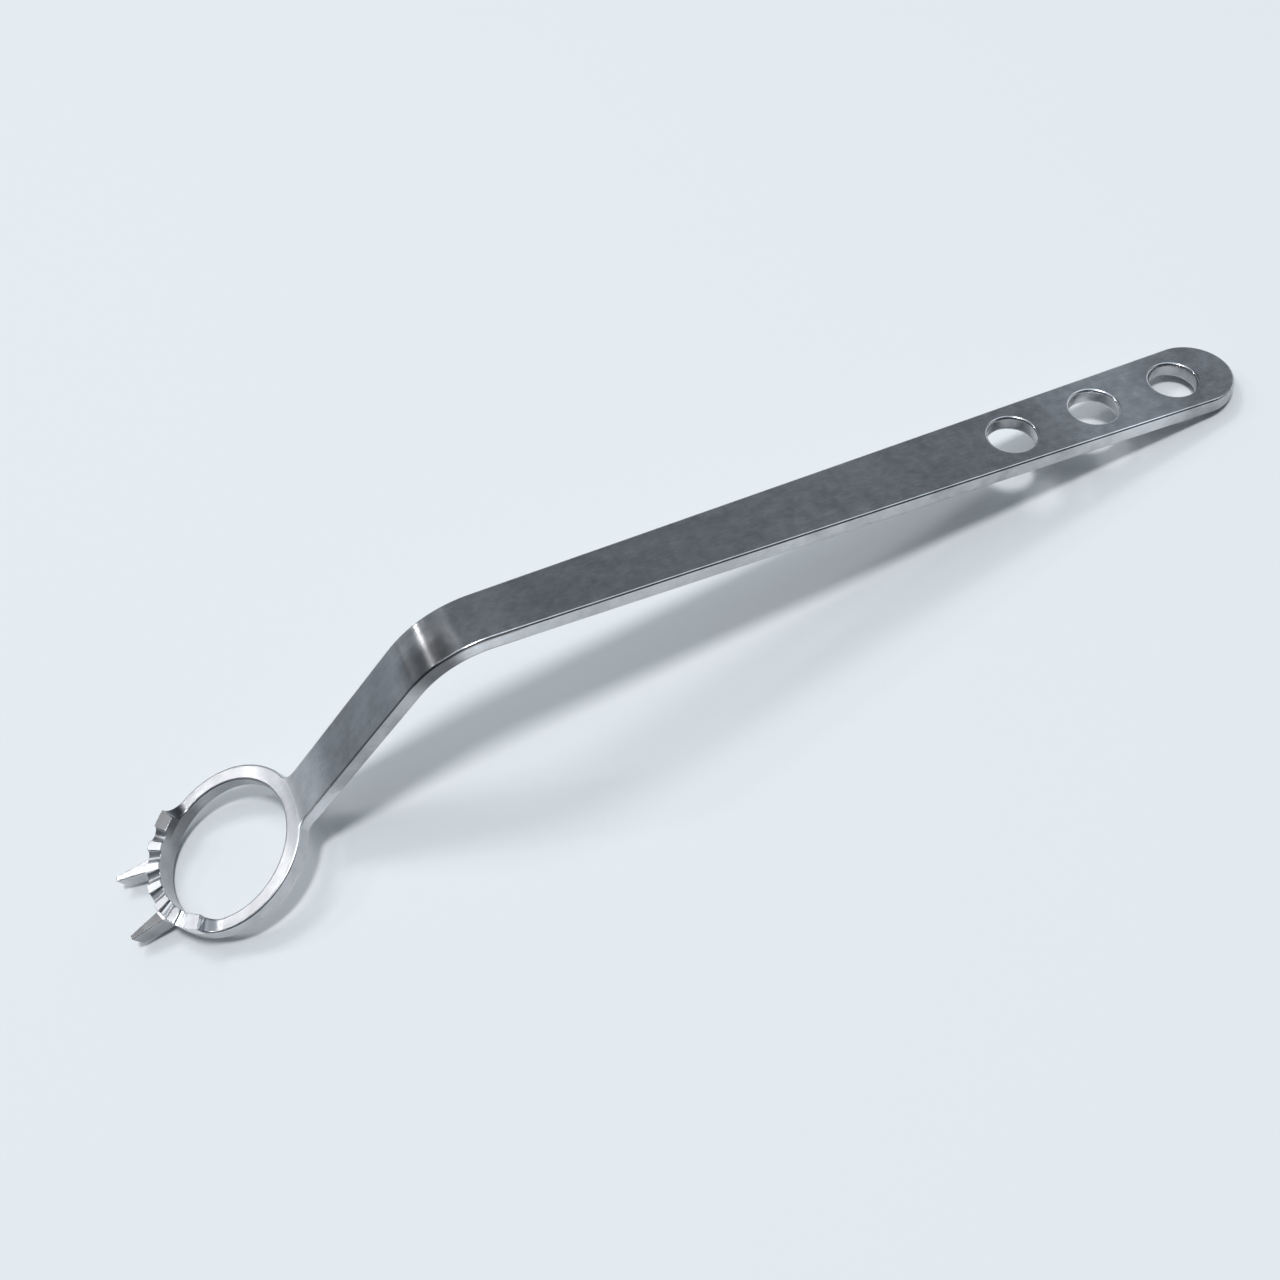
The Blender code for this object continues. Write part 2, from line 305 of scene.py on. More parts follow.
def ring_tree():
    """Sweeps a rounded section round a loop of stations, and raises the crown on one arc of it."""
    graph, given = new_tree("ring with a crown", RING_SIZES)
    place = graph.add("GeometryNodeInputPosition")
    angle = place.part("Y").math("ARCTAN2", place.part("X") * -1)
    path = graph.add("GeometryNodeMeshToCurve", {}, {"Mesh": given["Mesh"]})
    path = graph.node("GeometryNodeCaptureAttribute", {"domain": "POINT"}, {"Geometry": path})
    path.capture_items.new("FLOAT", "angle")
    graph.fill(path.inputs[1], angle)
    captured_angle = Socket(graph, path.outputs[1])

    per_corner = given["Rounding Steps"] + 1
    section = graph.add("GeometryNodeCurvePrimitiveCircle", {}, {"Resolution": per_corner * 4})
    section = graph.node("GeometryNodeCaptureAttribute", {"domain": "POINT"}, {"Geometry": section})
    section.capture_items.new("FLOAT", "number")
    graph.fill(section.inputs[1], graph.add("GeometryNodeInputIndex"))
    number = Socket(graph, section.outputs[1])

    swept = graph.add(
        "GeometryNodeCurveToMesh",
        {},
        {"Curve": Socket(graph, path.outputs[0]), "Profile Curve": Socket(graph, section.outputs[0])},
    )

    # Each point's corner of the section: 0 inner lower, 1 outer lower, 2 outer upper, 3 inner upper
    corner = ((number + 0.5) / per_corner).floor()
    step = number - corner * per_corner
    outer = corner.above(0.5) * corner.below(2.5)
    upper = corner.above(1.5)

    # The ramps climb to the crown from both sides
    beyond = (captured_angle.size() - given["Crown Half Angle"]).at_least(0.0)
    climb = (1.0 - beyond / given["Ramp Angle"]).at_least(0.0)
    climb = 1.0 - (1.0 - climb * climb).at_least(0.0).root()

    # The section's own point, with tighter rounding on the crown
    eased = given["Rounding"] + (given["Crown Edge"] - given["Rounding"]) * climb
    rounding = given["Rounding"] + (eased - given["Rounding"]) * upper
    turn = (corner + step / given["Rounding Steps"]) * (pi / 2) + pi
    across = rounding + outer * (given["Wall"] - rounding * 2.0) + rounding * turn.cosine()
    height = rounding + upper * (given["Thickness"] - rounding * 2.0) + rounding * turn.sine()
    share = across / given["Wall"]

    # The crown's height, less the groove that the point lies in
    pitch = given["Crown Half Angle"] * 2.0 / given["Teeth"]
    cell = (captured_angle + given["Crown Half Angle"]) / pitch
    nearest = (cell + 0.5).floor().at_least(1.0).at_most(given["Teeth"] - 1.0)
    from_groove = (cell - nearest).size() * 2.0 / given["Groove Share"]
    groove = (1.0 - from_groove * from_groove).at_least(0.0).root()
    at_bore = given["Groove Depth at Bore"]
    depth = at_bore + (given["Groove Depth"] - at_bore) * share
    full = given["Rise at Bore"] + given["Extra Rise at Lip"] * share
    rise = (full * climb - depth * groove) * upper

    # The crown leans in, and overhangs the bore
    end = given["Crown Half Angle"].cosine()
    lean = given["Lean"] * ((captured_angle.cosine() - end) / (1.0 - end)).at_least(0.0)
    inward = (lean + given["Overhang"] * (1.0 - share)) * rise
    inward = inward / (given["Rise at Bore"] + given["Extra Rise at Lip"])
    radius = given["Bore Radius"] + across - inward
    shift = given["Bore Offset"] * (1.0 - share)
    spot = graph.add(
        "ShaderNodeCombineXYZ",
        {},
        {
            "X": radius * captured_angle.cosine() * -1.0 - shift,
            "Y": radius * captured_angle.sine(),
            "Z": height + rise,
        },
    )
    placed = graph.add("GeometryNodeSetPosition", {}, {"Geometry": swept, "Position": spot})
    end_tree(graph, placed, given)
    return graph


def even_steps(start, end, largest):
    """Values from start up to, but without, end, spaced evenly."""
    count = max(1, ceil(abs(end - start) / largest))
    return [start + (end - start) * step / count for step in range(count)]


def ring_stations():
    """Angles of the ring's sections, closest together in the grooves and on the ramps."""
    pitch = 2 * CROWN_HALF_ANGLE / TOOTH_COUNT
    half_groove = GROOVE_SHARE * pitch / 2
    foot = CROWN_HALF_ANGLE + CROWN_RAMP_ANGLE
    rising = [pi / 2 * step / RAMP_STEPS for step in range(RAMP_STEPS)]
    angles = [-foot + CROWN_RAMP_ANGLE * sin(part) for part in rising]
    reached = -CROWN_HALF_ANGLE
    for number in range(1, TOOTH_COUNT):
        centre = -CROWN_HALF_ANGLE + pitch * number
        angles += even_steps(reached, centre - half_groove, pitch / LAND_STEPS)
        angles += [centre - half_groove * cos(pi * step / GROOVE_STEPS) for step in range(GROOVE_STEPS)]
        reached = centre + half_groove
    angles += even_steps(reached, CROWN_HALF_ANGLE, pitch / LAND_STEPS)
    angles += [foot - CROWN_RAMP_ANGLE * sin(pi / 2 - part) for part in rising]
    angles += even_steps(foot, 360 - foot, PLAIN_RING_STEP)
    return [radians(angle) for angle in angles]


def make_ring(material):
    stations = bmesh.new()
    points = [stations.verts.new((-cos(angle), sin(angle), 0.0)) for angle in ring_stations()]
    for here, there in zip(points, points[1:] + points[:1]):
        stations.edges.new((here, there))
    ring = grown(new_object("ring", stations), ring_tree(), RING_SIZES, material)
    shape = bmesh.new()
    shape.from_mesh(ring.data)
    bmesh.ops.recalc_face_normals(shape, faces=shape.faces)
    shape.to_mesh(ring.data)
    shape.free()
    return ring


# The plate: shank and handle before bending


def arc(centre, radius, start, end, steps):
    """Points on a circle, from one angle in radians to another, both ends kept."""
    turn = (end - start) / steps
    return [
        centre + radius * Vector((cos(start + turn * step), sin(start + turn * step)))
        for step in range(steps + 1)
    ]


def centre_line():
    """Stretches of the blank from the ring's centre to the handle's end, as (length, turn)."""
    neck = radians(NECK_BEND_ANGLE)
    main = radians(MAIN_BEND_ANGLE)
    return (
        (RING_RADIUS + NECK_CORNER - NECK_BEND_RADIUS * tan(neck / 2), 0.0),
        (NECK_BEND_RADIUS * neck, neck),
        (SHANK_LENGTH, 0.0),
        (MAIN_BEND_RADIUS * main, -main),
        (HANDLE_LENGTH, 0.0),
    )


def stretch_ends():
    ends = [0.0]
    for length, _ in centre_line():
        ends.append(ends[-1] + length)
    return ends


def plate_side():
    """Outline of one side of the plate, from inside the ring's wall to the tip of the handle."""
    handle_start, tip = stretch_ends()[4:]
    root = Vector((RING_RADIUS, SHANK_WIDTH / 2))
    bend = Vector((handle_start, BEND_WIDTH / 2))
    along = (bend - root).normalized()
    out = Vector((-along.y, along.x))
    # The fillet's circle touches the shank's edge and dips a little under the ring's outer wall.
    dip = RING_ROUNDING / 4
    reach = RING_RADIUS - dip + NECK_FILLET
    start = root + out * NECK_FILLET
    slide = -start.dot(along) + sqrt(start.dot(along) ** 2 - start.length_squared + reach**2)
    centre = start + along * slide
    from_ring = atan2(-centre.y, -centre.x) + 2 * pi
    to_shank = atan2(-out.y, -out.x) + 2 * pi
    fillet = arc(centre, NECK_FILLET, from_ring, to_shank, FILLET_STEPS)
    hidden = atan2(fillet[0].y, fillet[0].x) + radians(BURIED_TURN)
    buried = [
        (RING_RADIUS - RING_WALL / 2) * Vector((cos(hidden), sin(hidden))),
        (RING_RADIUS - RING_ROUNDING) * Vector((cos(hidden), sin(hidden))),
    ]
    half = HANDLE_WIDTH / 2
    end_centre = Vector((tip - half, 0.0))
    from_centre = bend - end_centre
    touch = atan2(from_centre.y, from_centre.x) - acos(half / from_centre.length)
    round_end = arc(end_centre, half, touch, 0.0, END_STEPS)
    return buried + fillet + [bend] + round_end


HOLE_SIZES = {
    "Holes": HOLE_COUNT,
    "Hole Sides": HOLE_SIDES,
    "Hole Radius": HOLE_DIAMETER / 2,
    "Hole Spacing": HOLE_SPACING,
    "First Hole": stretch_ends()[-1] - HOLE_FROM_END,
    "Plate Thickness": RING_THICKNESS,
}


def hole_tree():
    """Cuts a row of round holes through a plate, spaced evenly back from the first."""
    graph, given = new_tree("row of holes", HOLE_SIZES)
    half_way_up = given["Plate Thickness"] / 2.0
    first = graph.add("ShaderNodeCombineXYZ", {}, {"X": given["First Hole"], "Z": half_way_up})
    back = graph.add("ShaderNodeCombineXYZ", {}, {"X": given["Hole Spacing"] * -1.0})
    row = graph.add(
        "GeometryNodeMeshLine",
        {"mode": "OFFSET"},
        {"Count": given["Holes"], "Start Location": first, "Offset": back},
    )
    drill = graph.add(
        "GeometryNodeMeshCylinder",
        {},
        {
            "Vertices": given["Hole Sides"],
            "Radius": given["Hole Radius"],
            "Depth": given["Plate Thickness"] * 2.0,
        },
    )
    drills = graph.add("GeometryNodeInstanceOnPoints", {}, {"Points": row, "Instance": drill})
    drills = graph.add("GeometryNodeRealizeInstances", {}, {0: drills})
    settings = {"operation": "DIFFERENCE", "solver": "EXACT"}
    cut = graph.add("GeometryNodeMeshBoolean", settings, {"Mesh 1": given["Mesh"], "Mesh 2": drills})
    end_tree(graph, cut, given)
    return graph


def add_edge_rounding(target, name, width, clamped):
    """Round every sharp edge. Clamped, the rounding narrows where short edges leave it no room."""
    step = target.modifiers.new(name, "BEVEL")
    step.limit_method = "ANGLE"
    step.angle_limit = radians(ROUND_EDGES_OVER)
    step.width = width
    step.segments = ROUNDING_STEPS
    step.use_clamp_overlap = clamped


def make_plate(material):
    """The flat plate with rounded edges and its row of holes, whose rims are rounded less."""
    upper = plate_side()
    lower = [Vector((point.x, -point.y)) for point in reversed(upper[:-1])]
    start = atan2(upper[0].y, upper[0].x)
    steps = ceil(degrees(2 * start) / BURIED_TURN)
    hidden_arc = arc(Vector((0.0, 0.0)), upper[0].length, -start, start, steps)[1:-1]
    plate = bmesh.new()
    outline = [plate.verts.new((point.x, point.y, BAR_SINK)) for point in upper + lower + hidden_arc]
    face = plate.faces.new(outline)
    raised = bmesh.ops.extrude_face_region(plate, geom=[face])["geom"]
    top = [item for item in raised if isinstance(item, bmesh.types.BMVert)]
    bmesh.ops.translate(plate, verts=top, vec=(0.0, 0.0, RING_THICKNESS - 2 * BAR_SINK))
    bmesh.ops.recalc_face_normals(plate, faces=plate.faces)
    blank = new_object("plate", plate)
    add_edge_rounding(blank, "edge rounding", EDGE_ROUNDING, True)
    blank = grown(blank, hole_tree(), HOLE_SIZES, material)
    add_edge_rounding(blank, "hole edge rounding", HOLE_EDGE_ROUNDING, False)
    return blank


def make_prong(side):
    """One prong: a tapered bar with a slanted tip. side is 1 or -1, for the two sides of the crown."""
    pitch = Matrix.Rotation(radians(PRONG_PITCH), 4, "Y")
    splay = Matrix.Rotation(-side * radians(PRONG_SPLAY), 4, "Z")
    seat = radians(180 - side * PRONG_ANGLE)
    root = Vector((RING_RADIUS * cos(seat), RING_RADIUS * sin(seat), PRONG_ROOT_HEIGHT))
    place = Matrix.Translation(root) @ splay @ pitch
    stretch = RING_WALL / 2 / PRONG_REACH
    prong = bmesh.new()
    loops = []
    for along, slant in ((-stretch, 0.0), (1.0, PRONG_TIP_SLANT)):
        half_width = (PRONG_ROOT_WIDTH + (PRONG_TIP_WIDTH - PRONG_ROOT_WIDTH) * along) / 2
        depth = PRONG_ROOT_DEPTH + (PRONG_TIP_DEPTH - PRONG_ROOT_DEPTH) * along
        top = -PRONG_REACH * along
        corners = (
            (top, -half_width, 0.0),
            (top, half_width, 0.0),
            (top + slant, half_width, -depth),
            (top + slant, -half_width, -depth),
        )
        loops.append([prong.verts.new(place @ Vector(corner)) for corner in corners])
    prong.faces.new(loops[0])
    prong.faces.new(loops[1])
    for here, there in zip(range(4), (1, 2, 3, 0)):
        prong.faces.new((loops[0][here], loops[0][there], loops[1][there], loops[1][here]))
    bmesh.ops.recalc_face_normals(prong, faces=prong.faces)
    bmesh.ops.bevel(
        prong,
        geom=prong.edges[:],
        offset=PRONG_EDGE,
        segments=PRONG_EDGE_STEPS,
        profile=0.5,
        affect="EDGES",
    )
    return new_object("prong", prong)


def join_blank(material):
    """Join the plate, the ring and the prongs into one flat mesh, without edges of almost no length."""
    blank = make_plate(material)
    additions = [make_ring(material), make_prong(1), make_prong(-1)]
    for addition in additions:
        union = blank.modifiers.new("union " + addition.name, "BOOLEAN")
        union.operation = "UNION"
        union.solver = "EXACT"
        union.object = addition
    joined = bmesh.new()
    joined.from_object(blank, bpy.context.evaluated_depsgraph_get())
    bmesh.ops.dissolve_degenerate(joined, dist=JOIN_SNAP, edges=joined.edges)
    for used in [blank] + additions:
        bpy.data.objects.remove(used, do_unlink=True)
    return joined


# Bending and laying down


def bent(along, above):
    """Where a point of the flat blank goes: its place along the blank, and above mid thickness."""
    place = Vector((0.0, 0.0))
    heading = 0.0
    stretches = centre_line()
    left = along
    for number, (length, turn) in enumerate(stretches):
        last = number == len(stretches) - 1
        step = left if last else min(left, length)
        if turn:
            turned = turn * step / length
            chord = 2 * length / turn * sin(turned / 2)
            middle = heading + turned / 2
            place += chord * Vector((cos(middle), sin(middle)))
            heading += turned
        else:
            place += step * Vector((cos(heading), sin(heading)))
        left -= step
        if left <= 0:
            break
    return place + above * Vector((-sin(heading), cos(heading)))


def evened(along, above):
    """Along the shank, the blank goes evenly from the ring's thickness to the bar's."""
    ends = stretch_ends()
    share = min(1.0, max(0.0, (along - ends[2]) / SHANK_LENGTH))
    blank_thickness = RING_THICKNESS - 2 * BAR_SINK
    return above * (1 + share * (BAR_THICKNESS / blank_thickness - 1))


def bend_blank(blank):
    """Cut the blank across at every step of its two bends, and then bend it."""
    ends = stretch_ends()
    bends = ((ends[1], ends[2], NECK_BEND_STEPS), (ends[3], ends[4], MAIN_BEND_STEPS))
    stations = []
    for start, end, steps in bends:
        stations += [start + (end - start) * step / steps for step in range(steps + 1)]
    for station in stations:
        everything = blank.verts[:] + blank.edges[:] + blank.faces[:]
        bmesh.ops.bisect_plane(
            blank,
            geom=everything,
            dist=CUT_SNAP,
            plane_co=(station, 0.0, 0.0),
            plane_no=(1.0, 0.0, 0.0),
        )
    # The flat blank's coordinates stay on the mesh, for grain that follows the bends, and so does
    # how upright each face stood.
    grain = blank.verts.layers.float_vector.new("blank_place")
    wall = blank.faces.layers.float.new("wall")
    blank.normal_update()
    for face in blank.faces:
        face[wall] = 1.0 - abs(face.normal.z)
    for vert in blank.verts:
        vert[grain] = vert.co
        above = evened(vert.co.x, vert.co.z - RING_THICKNESS / 2)
        place = bent(vert.co.x, above)
        vert.co.x, vert.co.z = place.x, place.y


def lay_down(blank):
    """Tilt the part until the ring's end and the handle's end both touch Z = 0, and centre it."""
    for _ in range(LEVELLING_PASSES):
        xs = [vert.co.x for vert in blank.verts]
        half_way = (min(xs) + max(xs)) / 2
        near = min((vert.co for vert in blank.verts if vert.co.x < half_way), key=lambda co: co.z)
        far = min((vert.co for vert in blank.verts if vert.co.x > half_way), key=lambda co: co.z)
        tilt = Matrix.Rotation(atan2(far.z - near.z, far.x - near.x), 3, "Y")
        bmesh.ops.rotate(blank, verts=blank.verts, cent=near.copy(), matrix=tilt)
    xs = [vert.co.x for vert in blank.verts]
    lowest = min(vert.co.z for vert in blank.verts)
    shift = Vector((-(min(xs) + max(xs)) / 2, 0.0, -lowest))
    bmesh.ops.translate(blank, verts=blank.verts, vec=shift)


# Finishes

# The steel's colour, and its tone and roughness where nothing changes them
STEEL_COLOUR = (0.62, 0.622, 0.64)
STEEL_TONE = 0.95
STEEL_ROUGHNESS = 0.16
LEAST_ROUGHNESS = 0.1

# Noise in the steel: features per millimetre, detail and roughness
GRAIN = (5.0, 1.5, 0.6)
CLOUDS = (0.09, 5.0, 0.62)
SMUDGES = (0.42, 3.5, 0.62)
PATCHES = (0.2, 6.0, 0.65)
WAVES = (0.1, 2.0, 0.5)
GRAIN_DRAWN_OUT = (0.1, 1.0, 1.0)
STAIN_EDGE = (0.44, 0.62)

# How much each of these changes the tone
STAIN_DARKENS = 0.14
SMUDGE_TONE = 0.34
SMUDGE_TONE_LOST_ON_RING = 0.18
GRAIN_TONE = 0.26
PATCH_MIDDLE = 0.47
PATCH_TONE = 0.32
PATCH_TONE_HANDLED = 0.4
PATCH_TONE_IN_BEND_HIGHLIGHT = 0.8
PATCH_TONE_LOST_ON_RING = 0.2

# How much places on the bar change the tone
# Painted highlight after the main bend and at the neck
BEND_PAINTED_HIGHLIGHT = 0.35
NECK_PAINTED_HIGHLIGHT = 0.25
HOLES_LIGHTEN = 0.34
GRIP_DARKENS = 0.13
TIP_DARKENS = 0.05
WALLS_DARKEN = 0.06
# Painted shade in the holes
HOLE_WALLS_PAINTED_SHADE = 0.12
# Painted shade on the near half of the main bend
NEAR_BEND_HALF_PAINTED_SHADE = 0.7
SHANK_DARKENS = 0.25
# Painted shade over the glint on the near rounded edge after the main bend
NEAR_EDGE_PAINTED_SHADE = 0.6

# Painted highlight and painted shade on the ring: how much places on it change the tone
NEAR_TEETH_PAINTED_HIGHLIGHT = 0.55
FAR_TEETH_PAINTED_SHADE = 0.55
RAMPS_PAINTED_SHADE = 0.45
# Painted shade in the bore
BORE_PAINTED_SHADE = 0.33
NEAR_BORE_PAINTED_SHADE = 0.35
FAR_BORE_PAINTED_SHADE = 0.45
# Painted shade on the near prong, less on its walls and rounded edges
NEAR_PRONG_PAINTED_SHADE = 0.76
PRONG_WALLS_LESS_SHADE = 0.42
PRONG_EDGES_LESS_SHADE = 0.8

# How much each of these changes the roughness
RING_ROUGHENS = 0.16
NECK_ROUGHENS = 0.2
NEAR_BEND_HALF_ROUGHENS = 0.07
NEAR_EDGE_ROUGHENS = 0.15
STAIN_ROUGHENS = 0.06
SMUDGE_ROUGHENS = 0.16
SMUDGE_LOST_IN_BEND = 0.11
GRAIN_ROUGHENS = 0.06
UNEVENNESS_LOST_ON_RING = 0.8

# Places along the blank, in millimetres from the ring's centre. A stretch fades in between its
# first two places and out between its last two.
RING_FADES = (13.0, 24.0)
NECK = (11.0, 17.0, 22.0, 32.0)
SHANK = (22.0, 32.0, 48.0, 58.0)
BEND = (50.0, 60.0, 66.0, 78.0)
# Painted shade on the near half of the main bend
NEAR_BEND_HALF_STRETCH = (52.0, 60.0, 64.0, 70.0)
# Painted highlight after the main bend
BEND_HIGHLIGHT_STRETCH = (62.0, 68.0, 69.0, 86.0)
NEAR_EDGE_STRETCH = (62.0, 66.0, 76.0, 82.0)
AMONG_HOLES = (192.0, 206.0, 216.0, 228.0)
HOLES_FROM = 150.0
GRIP_FROM = (150.0, 170.0)
HANDLED_FROM = (165.0, 205.0)
TIP_FROM = (222.0, 232.0)
BEND_CREASE = 62.4
CREASE_FADES = (1.0, 6.0)

# Places across the blank, from its middle line, with the near side negative
HOLES_REACH = 7.0
NEAR_BEND_HALF_FADES = (-2.0, 4.0)
NEAR_TEETH_END = (-12.0, -7.0)
FAR_TEETH_FROM = (9.0, 11.5)
NEAR_BORE_END = (-13.0, -5.0)
FAR_BORE_FROM = (7.0, 12.0)
FAR_BORE_ENDS = (-6.0, -2.0)

# Places on the ring, by their height and by how far they are from its centre
CROWN_FOOT = (3.17, 3.6)
CROWN_REACH = 18.0
PRONGS_FROM = 18.1
BORE_REACH = 15.4
RAMP_SLOPE = 0.62

# A rounded edge is where a face is half upright. This brings the mask to 1 there.
EDGE_GAIN = 4.0

# Heights in the bump are in micrometres, and its unit is one of them in metres
BUMP_UNIT = 0.000001
HOLLOW_HEIGHT = 1.6
CREASE_HEIGHT = -25.0
WAVE_HEIGHT = 30.0
SMUDGE_HEIGHT = 0.6
GRAIN_HEIGHT = 0.5

PAPER_COLOUR = (0.772, 0.80, 0.815, 1.0)
PAPER_ROUGHNESS = 0.9
PAPER_SHINE = 0.2


def new_material(name):
    made = bpy.data.materials.new(name)
    made.use_nodes = True
    made.node_tree.nodes.clear()
    return made, Graph(made.node_tree)


def noise(graph, place, kind):
    scale, detail, roughness = kind
    values = {"Vector": place, "Scale": scale, "Detail": detail, "Roughness": roughness}
    return graph.add("ShaderNodeTexNoise", {}, values)


def on_stretch(place, stretch):
    """1 on a stretch, fading to 0 before and after it."""
    fades_from, full_from, full_to, fades_to = stretch
    return place.between(fades_from, full_from) * (1.0 - place.between(full_to, fades_to))


class SteelPlaces:
    """Where a point of the steel lies. All but the first four are masks: 1 there and 0 elsewhere."""

    def __init__(self, graph):
        self.point = graph.add("ShaderNodeAttribute", {"attribute_name": "blank_place"}, {}, "Vector")
        self.along = self.point.part("X")
        self.across = self.point.part("Y")
        self.from_centre = (self.along * self.along + self.across * self.across).root()
        self.wall = graph.add("ShaderNodeAttribute", {"attribute_name": "wall"}, {}, "Fac")
        self.edge = self.wall * (1.0 - self.wall) * EDGE_GAIN
        self.on_ring = 1.0 - self.along.between(*RING_FADES)
        self.at_neck = on_stretch(self.along, NECK)
        self.on_shank = on_stretch(self.along, SHANK)
        self.in_bend = on_stretch(self.along, BEND)
        self.near_bend_half = on_stretch(self.along, NEAR_BEND_HALF_STRETCH) * (1.0 - self.across.between(*NEAR_BEND_HALF_FADES))
        self.bend_highlight = on_stretch(self.along, BEND_HIGHLIGHT_STRETCH)
        self.handled = self.along.between(*HANDLED_FROM)
        self.at_holes = on_stretch(self.along, AMONG_HOLES)
        near = self.across.below(0.0)
        self.shaded_near_edge = self.edge * on_stretch(self.along, NEAR_EDGE_STRETCH) * near
        self.near_prong = self.from_centre.above(PRONGS_FROM) * self.along.below(0.0) * near


def bar_tone(places, grain, smudge, patches, stain):
    """How light the steel is: stained, smudged and handled, with painted highlight and shade by the
    bends, and painted shade in the holes.
    """
    ring = places.on_ring
    smudged = SMUDGE_TONE - ring * SMUDGE_TONE_LOST_ON_RING
    patched = PATCH_TONE + places.handled * PATCH_TONE_HANDLED
    patched = patched + places.bend_highlight * PATCH_TONE_IN_BEND_HIGHLIGHT - ring * PATCH_TONE_LOST_ON_RING
    tone = STEEL_TONE - stain * STAIN_DARKENS + (smudge - 0.5) * smudged + (grain - 0.5) * GRAIN_TONE
    tone = tone + (patches - PATCH_MIDDLE) * patched
    # Painted highlight after the main bend and at the neck
    tone = tone + places.bend_highlight * BEND_PAINTED_HIGHLIGHT + places.at_neck * NECK_PAINTED_HIGHLIGHT
    tone = tone + places.at_holes * HOLES_LIGHTEN
    tone = tone - places.along.between(*GRIP_FROM) * GRIP_DARKENS
    tone = tone - places.along.between(*TIP_FROM) * TIP_DARKENS
    # The holes' walls are darker than the other walls: painted shade in the holes
    among_holes = places.along.above(HOLES_FROM) * places.across.size().below(HOLES_REACH)
    shaded_hole_walls = places.wall * among_holes
    tone = tone * (1.0 - places.wall * WALLS_DARKEN) * (1.0 - shaded_hole_walls * HOLE_WALLS_PAINTED_SHADE)
    # Painted shade on the near half of the main bend; the shank is darker too
    return tone * (1.0 - places.near_bend_half * NEAR_BEND_HALF_PAINTED_SHADE) * (1.0 - places.on_shank * SHANK_DARKENS)


def ring_painted_light(places):
    """Painted light on the ring: painted highlight on the near teeth, painted shade on the far teeth,
    ramps, bore and near prong.
    """
    across = places.across
    raised = places.point.part("Z").between(*CROWN_FOOT) * places.from_centre.below(CROWN_REACH)
    ramp = raised * (places.along + across.size() * RAMP_SLOPE).above(0.0)
    near_teeth = (raised - ramp) * (1.0 - across.between(*NEAR_TEETH_END))
    far_teeth = raised * across.between(*FAR_TEETH_FROM)
    bore = places.wall * places.from_centre.below(BORE_REACH)
    near_bore = bore * (1.0 - across.between(*NEAR_BORE_END))
    far_bore = bore * across.between(*FAR_BORE_FROM) * (1.0 - places.along.between(*FAR_BORE_ENDS))
    # Painted highlight on the near teeth; painted shade on the far teeth, the ramps and in the bore
    tone = (1.0 + near_teeth * NEAR_TEETH_PAINTED_HIGHLIGHT) * (1.0 - far_teeth * FAR_TEETH_PAINTED_SHADE)
    tone = tone * (1.0 - ramp * RAMPS_PAINTED_SHADE) * (1.0 - bore * BORE_PAINTED_SHADE)
    tone = tone * (1.0 - far_bore * FAR_BORE_PAINTED_SHADE) * (1.0 - near_bore * NEAR_BORE_PAINTED_SHADE)
    # Painted shade on the near prong, less on its walls and rounded edges
    prong_shade = NEAR_PRONG_PAINTED_SHADE - places.wall * PRONG_WALLS_LESS_SHADE - places.edge * PRONG_EDGES_LESS_SHADE
    return tone * (1.0 - places.near_prong * prong_shade)


def steel_roughness(places, grain, smudge, stain):
    """Rougher on the ring's faces and at the neck. Stains and smudges show least on the ring."""
    roughness = STEEL_ROUGHNESS + places.on_ring * (1.0 - places.wall) * RING_ROUGHENS
    roughness = roughness + places.at_neck * NECK_ROUGHENS + places.near_bend_half * NEAR_BEND_HALF_ROUGHENS
    roughness = roughness + places.shaded_near_edge * NEAR_EDGE_ROUGHENS
    smudged = SMUDGE_ROUGHENS - places.in_bend * SMUDGE_LOST_IN_BEND
    unevenness = stain * STAIN_ROUGHENS + (smudge - 0.5) * smudged + (grain - 0.5) * GRAIN_ROUGHENS
    roughness = roughness + unevenness * (1.0 - places.on_ring * UNEVENNESS_LOST_ON_RING)
    return roughness.at_least(LEAST_ROUGHNESS)


def steel_height(graph, places, grain, smudge):
    """Bump: faint waves, and a main bend that is a little hollow across and slightly creased."""
    hollow = places.across * places.across * places.in_bend * HOLLOW_HEIGHT
    from_crease = places.along - BEND_CREASE
    near_crease = 1.0 - from_crease.size().between(*CREASE_FADES)
    crease = from_crease * from_crease * near_crease * CREASE_HEIGHT
    waves = noise(graph, places.point, WAVES) * WAVE_HEIGHT
    return hollow + crease + waves + smudge * SMUDGE_HEIGHT + grain * GRAIN_HEIGHT


